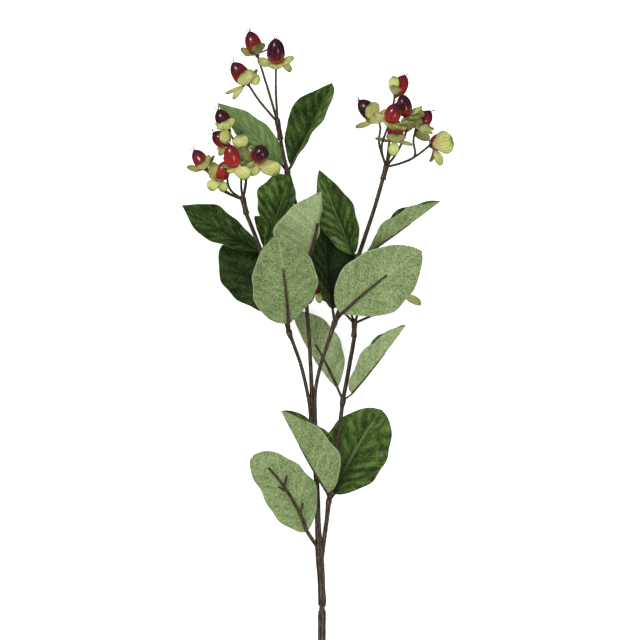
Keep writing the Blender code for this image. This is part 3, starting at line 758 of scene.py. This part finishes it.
# A berry's stalk points, foot, tip and width in mm, how ripe it is from 0 to 1, and its sepals: the
# turn of each round the berry (0 towards the viewer, 90 to the right of its tip), the angle its end
# makes with the berry's axis, its length, its width, how dark it is and how it twists on its length.
Berry = namedtuple("Berry", "via foot tip width ripe calyx")
Head = namedtuple("Head", "sleeve_foot sleeve_top berries")
HEADS = {
    "berry_head_top": Head((-29.5, 190, 26.1), (-32, 205, 27), (
        Berry(((-40.2, 232, 19),), (-47.5, 255, 12.5), (-53, 271.5, 14), 12, 0.35, (
            (283, 28, 13, 7, 0.3, -50), (315, 74, 11, 8, 0.1, -20), (30, 20, 10.5, 13, 0.85),
            (88, 84, 9, 5, 0.6),
            (180, 60, 9, 7))),
        Berry(((-33, 225, 29),), (-33, 247.5, 31.5), (-33, 264.5, 41), 13.5, 0.72, (
            (288, 64, 14, 7, 0.2, -50), (0, 98, 8, 12), (70, 50, 15, 8, 0.0, 30), (95, 146, 13, 6, 0.2, 50),
            (180, 70, 9, 8))),
        Berry(((-45, 218.7, 26),), (-54.5, 232.5, 26), (-65, 247, 32), 13, 0.35, (
            (12, 14, 16, 15, 0.0), (70, 98, 9.5, 9, 0.0, 60), (92, 58, 12, 5, 0.8, 20),
            (264, 76, 17, 4, 0.3, -30),
            (280, 106, 15, 5, 0.1, -40))),
    )),
    "berry_head_left": Head((-55, 134, 30), (-58, 147, 30.5), (
        Berry(((-55.3, 160, 31), (-58.5, 174, 31), (-63.5, 187, 31.5)), (-69, 198, 33),
            (-76, 212, 36), 11.5, 0.65, (
            (286, 4, 11, 12, 0.1), (10, 14, 10.5, 16), (75, 8, 10.5, 11, 0.3), (320, 16, 7, 9),
            (180, 30, 10, 9))),
        Berry(((-55.6, 161, 33), (-60.5, 174.5, 33)), (-69.5, 186.5, 32), (-79.5, 195, 34), 12, 0.45, (
            (38, 6, 14, 13), (275, 100, 9, 6, 0.5, -40), (90, 45, 11, 8), (180, 40, 10, 8), (225, 60, 9, 8))),
        Berry(((-69, 150.5, 25), (-80, 161, 17)), (-86, 169, 11.5), (-94.5, 182.5, 8.2), 11, 0.35, (
            (280, 30, 14, 8, 0.4, -50), (60, 26, 10.5, 8), (350, 62, 9, 9), (88, 48, 11, 7, 0.8, 30),
            (180, 60, 9, 7))),
        Berry(((-66.3, 151.5, 38), (-69, 158.5, 44), (-68.3, 164, 48)), (-64.5, 169, 50),
            (-67, 185, 56), 12, 0.16, (
            (36, 136, 15, 14), (285, 60, 8, 9, 0.4), (120, 60, 10, 8), (215, 110, 10, 8), (330, 150, 5, 7))),
        Berry(((-67.5, 149, 35), (-73, 152, 37)), (-74, 159.5, 38.5), (-71, 173, 41.5), 10.5, 0.05, (
            (325, 158, 12, 11), (18, 150, 11, 8), (300, 4, 17, 11, 0.2, -75), (330, 70, 7, 8, 0.3),
            (180, 60, 9, 7))),
        Berry(((-55, 160.5, 35), (-52, 165, 37)), (-47, 175, 40), (-42.5, 183, 51), 13.5, 0.55, (
            (72, 76, 19, 17), (5, 105, 14, 11), (290, 76, 16, 13, 0.8), (330, 90, 13, 10, 0.5),
            (180, 70, 11, 9))),
        Berry(((-59, 157, 33),), (-58, 182, 34.5), (-59.5, 193, 33), 10.5, 0.5, (
            (355, 4, 14, 12.5), (90, 70, 9, 7), (150, 60, 9, 7), (215, 60, 9, 7), (290, 60, 11, 8))),
    )),
    "berry_head_right": Head((47, 160, 30), (50, 171.5, 30.5), (
        Berry(((52, 189, 25), (54.5, 212, 20)), (57, 224, 18), (64, 238.5, 14), 11.5, 0.3, (
            (310, 10, 15, 12), (335, 50, 9, 9, 0.5), (92, 85, 10, 5, 0.3, 30), (150, 50, 9, 7),
            (215, 30, 11, 9))),
        Berry(((44.3, 187, 30), (45.2, 198, 30)), (42, 206, 29), (29.5, 219, 31), 12.5, 0.8, (
            (18, 6, 16, 14, 0.15), (275, 56, 16, 6, 0.3, -40), (84, 110, 10, 6, 0.3, 30), (150, 60, 9, 7),
            (215, 50, 9, 7))),
        Berry(((58, 181, 38), (64.5, 196, 42)), (64, 207, 43), (61.5, 222.5, 48), 11.5, 0.65, (
            (80, 50, 14, 6, 0.1, 20), (40, 98, 12, 13, 0.8), (95, 92, 13, 12, 0.6, 25), (5, 125, 12, 10, 0.3),
            (180, 60, 9, 7))),
        Berry(((46, 184, 44),), (51.7, 201.8, 54), (57, 215.5, 58), 12.3, 0.3, (
            (20, 108, 9, 15), (285, 72, 13, 8, 0.0, -30), (258, 122, 15, 9, 0.3, -40), (78, 42, 15, 7),
            (50, 85, 14, 15, 0.2))),
        Berry(((53, 180, 38),), (56, 188, 42), (57, 204, 46), 12, 0.05, (
            (5, 22, 12, 15, 0.6), (355, 156, 13, 8), (272, 78, 14, 4, 0.8, -30), (88, 100, 12, 4, 0.1, 35),
            (180, 60, 9, 8))),
        Berry(((61.5, 172.8, 28), (71, 178, 25), (70, 189, 28)), (73, 198.5, 31),
            (82.5, 211, 34), 11.5, 0.3, (
            (325, 12, 13, 11, 0.5), (45, 30, 14, 13, 0.2), (90, 60, 11, 8), (180, 60, 9, 7),
            (285, 150, 12, 9, 0.5, -60))),
        Berry(((61.5, 172.8, 28), (72, 178, 24)), (84, 186.5, 13.4), (97, 192, 7.5), 12.5, 0.2, (
            (14, 22, 18, 18), (78, 98, 16, 8, 0.0, 75), (282, 156, 16, 9, 0.7, -70),
            (90, 145, 12, 6, 0.8, 40),
            (180, 60, 9, 7))),
    )),
    "berry_head_side": Head((25.5, 42, 16.6), (26, 54.5, 17), (
        Berry(((14, 64, 14.5),), (-2, 75.5, 12.7), (-4, 91, 12.2), 11, 0.2, (
            (90, 112, 7, 6), (162, 62, 12, 9), (310, 155, 12, 6, 0.0, -30), (5, 160, 12, 5),
            (50, 155, 13, 6, 0.0, 30))),
        Berry(((46, 62, 16),), (60, 75.5, 15), (69, 88, 13), 11.5, 0.3, (
            (88, 80, 17, 9, 0.2, 50), (252, 112, 10, 7), (324, 62, 11, 9), (36, 100, 10, 7),
            (150, 60, 11, 9))),
        Berry(((31, 66, 16),), (40, 79, 14), (44, 94, 13), 12, 0.3, (
            (90, 8, 14, 11), (162, 112, 9, 7), (234, 62, 12, 9), (306, 142, 9, 7), (18, 38, 11, 9))),
        Berry(((22, 64, 14),), (20, 76, 12.3), (18, 92, 11.5), 11.5, 0.3, (
            (90, 8, 14, 11), (162, 112, 9, 7), (234, 62, 12, 9), (306, 142, 9, 7), (18, 38, 11, 9))),
    )),
}


BERRY_TONES = (
    (0.05, (0.29, 0.006, 0.006)), (0.38, (0.15, 0.004, 0.006)), (0.66, (0.055, 0.004, 0.009)),
    (0.95, (0.022, 0.004, 0.010)),
)
BERRY_STRIPE = (0.5, 0.12, 0.14)
STRIPES_AROUND = 11


def berry_finish():
    """Lacquered berry: clear red where it is young, through maroon to nearly black where it is ripe."""
    lacquer = Finish("berry", Specular_IOR_Level=0.6, Coat_Roughness=0.06, Coat_IOR=1.5)
    around = lacquer.own_map()[0]
    places = lacquer.places()
    ripe = lacquer.stored("ripe")
    cloud = lacquer.speckle(places, 190.0, detail=3.0)
    streaks = lacquer.speckle(places, 700.0, detail=2.0)
    stripe = (around * (math.tau * STRIPES_AROUND) + streaks * 6.0).sine() * 0.5 + 0.5
    colour = lacquer.ramp(ripe + (cloud - 0.5) * 0.5 + (stripe - 0.5) * 0.05, BERRY_TONES)
    lacquer.wear(
        Base_Color=lacquer.mix(stripe.between(0.75, 1.0) * 0.10, colour, BERRY_STRIPE),
        Roughness=0.22 + streaks * 0.12,
        Coat_Weight=0.5 - cloud * 0.1,
        Normal=lacquer.bump(stripe * 0.3 + cloud * 0.7, 0.12 * MM, 0.5),
    )
    return lacquer.material


SEPAL_TONES = (
    (0.05, (0.50, 0.30, 0.17)), (0.2, (0.62, 0.56, 0.25)), (0.5, (0.56, 0.57, 0.19)),
    (0.85, (0.40, 0.44, 0.12)), (1.0, (0.13, 0.16, 0.035)),
)
SEPAL_VEIN = (0.13, 0.14, 0.02)
SEPAL_RIM = (0.13, 0.15, 0.03)
SEPAL_SHADE = (0.055, 0.07, 0.012)
SEPAL_BLUSH = (0.52, 0.27, 0.2)
SEPAL_VEINS = 7.0


def sepal_finish():
    """Soft moulded sepals: peach at the root, yellow-green, with darker veins, rims and tips."""
    skin = Finish("sepal", Specular_IOR_Level=0.4)
    across, along = skin.own_map()
    places = skin.places()
    span = abs(across * 2 - 1)
    cloud = skin.speckle(places, 260.0, detail=3.0)
    fine = skin.speckle(places, 1400.0, detail=2.0)
    body = skin.ramp(along + (cloud - 0.5) * 0.4, SEPAL_TONES)
    veins = 1 - (across * SEPAL_VEINS + (cloud - 0.5) * 1.2).distance_to_line().between(0.05, 0.5)
    shown = veins * along.between(0.1, 0.35) * cloud.between(0.32, 0.52)
    veined = skin.mix(shown * 0.5, body, SEPAL_VEIN)
    rim = (span + (cloud - 0.5) * 0.4).between(0.76, 1.05) + (along + (cloud - 0.5) * 0.25).between(0.9, 1.05)
    rimmed = skin.mix(rim * 0.8, veined, SEPAL_RIM)
    dark = skin.stored("shade") * along.between(0.05, 0.3) * (0.6 + cloud * 0.6)
    shaded = skin.mix(dark, rimmed, SEPAL_SHADE)
    blush = cloud.between(0.56, 0.72) * (1 - along.between(0.3, 0.8))
    skin.wear(
        Base_Color=skin.mix(blush * 0.4, shaded, SEPAL_BLUSH),
        Roughness=0.42 + fine * 0.2,
        Normal=skin.bump(fine * 0.4 - veins * 0.7, 0.2 * MM, 0.7),
    )
    return skin.material


BERRY_SKIN = berry_finish()
SEPAL_SKIN = sepal_finish()


def berry_frame(berry):
    """A berry's foot, tip and axis, and two directions square to it, the first as near up as can be."""
    foot, tip = Vector(berry.foot) * MM, Vector(berry.tip) * MM
    axis = (tip - foot).normalized()
    up = Vector((0, 0, 1))
    first = (up - axis * up.dot(axis)).normalized()
    return foot, tip, axis, first, axis.cross(first)


# The shape of a berry on its axis, which goes from -1 at the foot to 1 at the tip: how much it narrows
# to the tip, how blunt its ends are, and the small point that starts at a share of its length.
BERRY_TAPER = 0.12
BERRY_BLUNTNESS = 2.5
POINT_START = 0.92
POINT_SHARE = 0.08
POINT_SIZE = 0.03
POLE = 0.01
RIPE_SPREAD = 1.25
LEAST_SPREAD = 0.35


def berry_body(work, berry):
    """An egg-shaped berry, widest below its middle, that keeps how ripe each place of it is."""
    ripeness = work.verts.layers.float["ripe"]
    foot, tip, axis, first, second = berry_frame(berry)
    length = (tip - foot).length
    ball = bmesh.ops.create_uvsphere(work, u_segments=24, v_segments=16, radius=1, calc_uvs=True)
    for corner in ball["verts"]:
        x, y, z = corner.co
        flat = math.hypot(x, y)
        blunt = math.sqrt(max(0.0, 1 - abs(z) ** BERRY_BLUNTNESS)) / flat if flat > POLE else 0
        swell = berry.width * MM / 2 * (1 - BERRY_TAPER * z) * blunt
        share = (z + 1) / 2
        point = 1 + POINT_SIZE * max(0, share - POINT_START) / POINT_SHARE
        corner.co = foot + axis * length * share * point + (first * x + second * y) * swell
        riper = (share - 0.5) * RIPE_SPREAD * min(1, LEAST_SPREAD + berry.ripe)
        corner[ripeness] = min(1, max(0, berry.ripe + riper))


# A sepal starts beside the berry's foot, down and out by so many mm, at an angle to the berry's axis
# that it soon leaves for its own. It is narrow at its root, widest at a share of its length, and round.
SEPAL_THICKNESS = 0.55 * MM
SEPAL_COLUMNS = 6
SEPAL_ROWS = 9
SEPAL_START_DOWN = 0.2
SEPAL_START_OUT = 1.2
SEPAL_ROOT_ANGLE = 88
SEPAL_CURL = 1.5
SEPAL_ROOT_WIDTH = 0.2
SEPAL_ROOT_CURVE = 1.3
SEPAL_WIDEST = 0.62
SEPAL_END = 0.4
SEPAL_CUP = 0.3
SEPAL_RUFFLE = 0.25 * MM
SEPAL_RUFFLES_ACROSS = 1.4
SEPAL_RUFFLES_ALONG = 3
SEPAL_TWIST_PACE = 2.5


def sepal(work, berry, seed, turn, end_angle, length, width, shade=0.0, twist=0):
    """One sepal: from the calyx outwards, then curving to its end angle, hollow towards the berry."""
    foot, _, axis, first, second = berry_frame(berry)
    out = first * math.cos(math.radians(turn)) + second * math.sin(math.radians(turn))
    side = axis.cross(out)
    root, end = math.radians(SEPAL_ROOT_ANGLE), math.radians(end_angle)
    angles = [end + (root - end) * (1 - row / SEPAL_ROWS) ** SEPAL_CURL for row in range(SEPAL_ROWS + 1)]
    middle = [foot - axis * SEPAL_START_DOWN * MM + out * SEPAL_START_OUT * MM]
    for angle in angles[1:]:
        step = (axis * math.cos(angle) + out * math.sin(angle)) * length * MM / SEPAL_ROWS
        middle.append(middle[-1] + step)

    def place(across, along):
        row = round(along * SEPAL_ROWS)
        share = row / SEPAL_ROWS
        if share > SEPAL_WIDEST:
            spread = math.sqrt(max(0.0, 1 - ((share - SEPAL_WIDEST) / SEPAL_END) ** 2))
        else:
            opened = math.sin(math.pi / 2 * (share / SEPAL_WIDEST)) ** SEPAL_ROOT_CURVE
            spread = SEPAL_ROOT_WIDTH + (1 - SEPAL_ROOT_WIDTH) * opened
        reach = 2 * across - 1
        half = width * MM / 2 * spread
        cup = SEPAL_CUP * half * reach**2
        spot = Vector((reach * SEPAL_RUFFLES_ACROSS, share * SEPAL_RUFFLES_ALONG, seed))
        ruffle = SEPAL_RUFFLE * noise.noise(spot) * share
        inward = axis * math.sin(angles[row]) - out * math.cos(angles[row])
        turned = math.radians(twist) * min(1, share * SEPAL_TWIST_PACE)
        wide = side * math.cos(turned) + inward * math.sin(turned)
        deep = inward * math.cos(turned) - side * math.sin(turned)
        return middle[row] + wide * half * reach + deep * (cup + ruffle)

    shades = work.verts.layers.float["shade"]
    for corner in mapped_grid(work, SEPAL_COLUMNS, SEPAL_ROWS, place):
        corner[shades] = shade


# The sleeve: shares of its length, and radii in mm. A berry's stalk starts in the sleeve's top, thins
# to its end below the berry, and flares there: steps along the berry's axis from its foot, and radii.
SLEEVE = (
    (0.0, 1.5), (0.02, 2.2), (0.1, 2.35), (0.2, 2.1), (0.5, 2.0), (0.85, 2.25), (1.0, 2.1), (1.12, 1.3),
)
STALK_START = 2
STALK_END = 3
STALK_SIDES = 10
BERRY_STALK_RADIUS = 0.85 * MM
STALK_FOOT_SHARE = 1.15
STALK_TAPER = 0.2
FLARE = ((-1.2, 1.7), (0.4, 2.1))


def head_stalks(work, head):
    """The sleeve of a head and the stalk of each berry, flared under its calyx."""
    foot, top = Vector(head.sleeve_foot) * MM, Vector(head.sleeve_top) * MM
    up = (top - foot).normalized()
    length = (top - foot).length
    rings = [Vector((*(foot + up * length * share), radius * MM)) for share, radius in SLEEVE]
    line, radii = thick_line(rings, 2)
    stick(work, line, radii, WOOD_SIDES, rough=0.1, seed=foot.x * 90)
    for berry in head.berries:
        heart, _, axis, _, _ = berry_frame(berry)
        via = [Vector(point) * MM for point in berry.via]
        line = smooth_line([top - up * STALK_START * MM, *via, heart - axis * STALK_END * MM], 6)
        count = len(line) + len(FLARE)
        radii = [BERRY_STALK_RADIUS * (STALK_FOOT_SHARE - STALK_TAPER * n / count) for n in range(len(line))]
        line += [heart + axis * step * MM for step, radius in FLARE]
        radii += [radius * MM for step, radius in FLARE]
        stick(work, line, radii, STALK_SIDES, rough=0.14, seed=heart.x * 900)


STYLES = 3
STYLE_SIDES = 5
STYLE_START = 0.5
STYLE_OFF = 0.4
STYLE_LENGTH = (3.2, 4.4)
STYLE_LEAN = (0.5, 0.95)
STYLE_UNEVEN = 0.2
STYLE_TURN = 0.5
STYLE_BEND = 0.6
STYLE_RADIUS = 0.42 * MM
STYLE_TAPER = 0.2 * MM


def berry_styles(work, berry, dice):
    """The dry styles that spread from a berry's tip."""
    _, tip, axis, first, second = berry_frame(berry)
    for index in range(STYLES):
        turn = math.tau * (index + dice.uniform(-STYLE_UNEVEN, STYLE_UNEVEN)) / STYLES + STYLE_TURN
        out = first * math.cos(turn) + second * math.sin(turn)
        lean = dice.uniform(*STYLE_LEAN)
        reach = dice.uniform(*STYLE_LENGTH) * MM
        root = tip - axis * STYLE_START * MM + out * STYLE_OFF * MM
        bend = root + (axis + out * lean * STYLE_BEND) * reach * 0.5
        line = smooth_line([root, bend, root + (axis + out * lean) * reach], 3)
        radii = [STYLE_RADIUS - STYLE_TAPER * n / len(line) for n in range(len(line))]
        stick(work, line, radii, STYLE_SIDES, rough=0.1, seed=turn)


dice = random.Random(7)
for name, head in HEADS.items():
    stalks = start_piece()
    head_stalks(stalks, head)
    for berry in head.berries:
        berry_styles(stalks, berry, dice)
    end_piece(stalks, name + "_stalks", BARK, name)
    berries = start_piece()
    berries.verts.layers.float.new("ripe")
    for berry in head.berries:
        berry_body(berries, berry)
    end_piece(berries, name + "_berries", BERRY_SKIN, name)
    calyces = start_piece()
    calyces.verts.layers.float.new("shade")
    for berry in head.berries:
        for number, shape in enumerate(berry.calyx):
            sepal(calyces, berry, number + berry.foot[0], *shape)
    piece = end_piece(calyces, name + "_calyces", SEPAL_SKIN, name)
    thicken(piece, SEPAL_THICKNESS)


# The table: a plain white top, glowing a little like a light table so that no shadow darkens it, under
# soft white light from above and from the upper left, seen straight from above through a long lens.

TABLE_SIZE = 6.0
TABLE_GLOW = 0.56
TABLE_WHITE = (0.93, 0.93, 0.93)
TABLE_GREY = (0.9, 0.9, 0.9)

table = bmesh.new()
bmesh.ops.create_grid(table, x_segments=1, y_segments=1, size=TABLE_SIZE / 2)
white = Finish("table_white", Roughness=0.9, Specular_IOR_Level=0.1, Emission_Color=(1, 1, 1))
cloud = white.speckle(white.places(), 3.0, detail=2.0)
white.wear(Base_Color=white.mix(cloud * 0.1, TABLE_WHITE, TABLE_GREY), Emission_Strength=TABLE_GLOW)
table_top = mesh_object(table, "table_top", [white.material])
table_top.visible_glossy = False

CAMERA_HEIGHT = 4.025
SPRAY_HEIGHT = 0.025
SENSOR_WIDTH = 36
VIEW_WIDTH = 0.48
VIEW_CENTRE_Y = 0.055
FAR_END = 50

camera = bpy.data.cameras.new("camera")
camera.sensor_width = SENSOR_WIDTH
camera.lens = SENSOR_WIDTH * (CAMERA_HEIGHT - SPRAY_HEIGHT) / VIEW_WIDTH
camera.clip_end = FAR_END
camera_place = new_object("camera", camera)
camera_place.location = (0, VIEW_CENTRE_Y, CAMERA_HEIGHT)
bpy.context.scene.camera = camera_place

WORLD_STRENGTH = 1.12

world = bpy.data.worlds.new("studio")
world.use_nodes = True
surround = world.node_tree.nodes["Background"].inputs
surround["Color"].default_value = (1, 1, 1, 1)
surround["Strength"].default_value = WORLD_STRENGTH
bpy.context.scene.world = world
world.cycles_visibility.glossy = False
bpy.context.scene.view_settings.view_transform = "Standard"

# Square lamps: name, place and side in metres, and power in watts.
LAMPS = (("key_light", (-0.9, 0.95, 1.6), 0.42, 15), ("fill_light", (1.0, -0.5, 1.5), 0.5, 4))
LAMP_AIM = (0, 0.05, 0)

for name, place, size, power in LAMPS:
    lamp = bpy.data.lights.new(name, "AREA")
    lamp.shape = "RECTANGLE"
    lamp.size = lamp.size_y = size
    lamp.energy = power
    held = new_object(name, lamp)
    held.location = place
    held.rotation_euler = (Vector(place) - Vector(LAMP_AIM)).to_track_quat("Z", "Y").to_euler()
